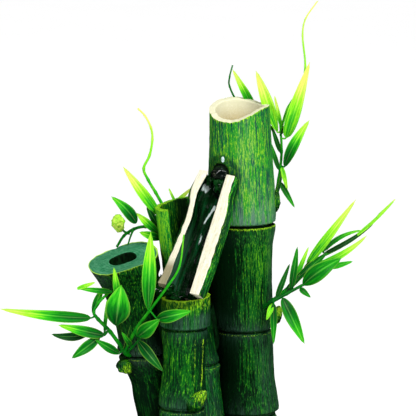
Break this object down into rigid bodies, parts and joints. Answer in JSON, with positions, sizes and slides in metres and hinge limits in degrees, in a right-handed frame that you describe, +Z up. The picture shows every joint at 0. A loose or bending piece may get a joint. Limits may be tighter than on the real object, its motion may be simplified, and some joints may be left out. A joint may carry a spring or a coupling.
{
  "type": "tabletop water fountain",
  "caption": "Tabletop water fountain: leaning bamboo stalks with leaf sprigs, a slanted open trough feeding a cup stalk, on a hollow rock over a pump in an oval bowl.",
  "frame": {"origin": "on the table, under the middle of the oval bowl, on the underside of the base pad", "axes": "+Z up, -Y towards the front, where the trough pours into the cup stalk, +X to the right with the tall stalk"},
  "size_m": [0.2674, 0.2025, 0.3583],
  "materials": {
    "pad": "closed-cell foam pad, matt",
    "painted_resin": "cast polyresin, hand-painted green with dry-brushed yellow-green streaks, satin",
    "wet_resin": "cast polyresin, dark green, wet and glossy inside, cream cut edges",
    "rock_resin": "cast polyresin rock, painted grey-green, matt",
    "pebbles": "tumbled river pebbles, satin",
    "leaf_plastic": "soft moulded polyethylene, dark green running to yellow-lime at the tips, veined",
    "pump_plastic": "moulded black ABS, fine grain",
    "regulator_plastic": "moulded charcoal ABS",
    "impeller_plastic": "moulded white acetal",
    "rubber": "moulded nitrile rubber, matt",
    "hose_pvc": "flexible black PVC hose, glossy",
    "shaft_ceramic": "ground white ceramic",
    "magnet": "sintered ferrite, matt",
    "core_steel": "stacked laminations",
    "coil_copper": "enamelled copper winding"
  },
  "bodies": {
    "bowl": {"base_pad": "pad", "bowl": "painted_resin", "cable_grommet": "rubber", "pebble_1": "pebbles", "pebble_2": "pebbles", "pebble_3": "pebbles", "pebble_4": "pebbles", "pebble_5": "pebbles", "pebble_6": "pebbles", "pebble_7": "pebbles", "pebble_8": "pebbles", "pebble_9": "pebbles", "pebble_10": "pebbles", "pebble_11": "pebbles", "pebble_12": "pebbles", "pump_housing": "pump_plastic", "volute_seal": "rubber", "volute_cover": "pump_plastic", "rotor_shaft": "shaft_ceramic", "rear_bush": "rubber", "front_bush": "rubber", "stator_core": "core_steel", "stator_coil": "coil_copper", "motor_lid": "pump_plastic", "cable_gland": "rubber", "pump_foot_1": "rubber", "pump_foot_2": "rubber", "pump_foot_3": "rubber", "pump_foot_4": "rubber"},
    "rotor": {"rotor_magnet": "magnet", "impeller": "impeller_plastic"},
    "intake_cover": {"intake_grille": "pump_plastic"},
    "regulator": {"flow_regulator": "regulator_plastic"},
    "cluster": {"pedestal": "rock_resin", "tall_stalk_lower": "painted_resin", "tall_stalk_upper": "painted_resin", "rear_stalk": "painted_resin", "cup_stalk": "painted_resin", "left_stalk": "painted_resin", "trough_spout": "wet_resin", "outlet_elbow": "hose_pvc", "supply_hose": "hose_pvc", "sprig_right_top": "leaf_plastic", "sprig_right_middle": "leaf_plastic", "sprig_left": "leaf_plastic", "sprig_rear_left": "leaf_plastic"}
  },
  "joints": [
    {"name": "cluster_lift", "type": "slide", "parent": "bowl", "child": "cluster", "axis": [0, 0, 1], "range_m": [0, 0.06]},
    {"name": "rotor_spin", "type": "hinge", "parent": "bowl", "child": "rotor", "pos_m": [0, 0.022, 0.028], "axis": [1, 0, 0], "continuous": true},
    {"name": "intake_cover_slide", "type": "slide", "parent": "bowl", "child": "intake_cover", "axis": [1, 0, 0], "range_m": [0, 0.008]},
    {"name": "regulator_turn", "type": "hinge", "parent": "intake_cover", "child": "regulator", "pos_m": [0.036, 0.022, 0.028], "axis": [1, 0, 0], "range_deg": [0, 90]}
  ]
}
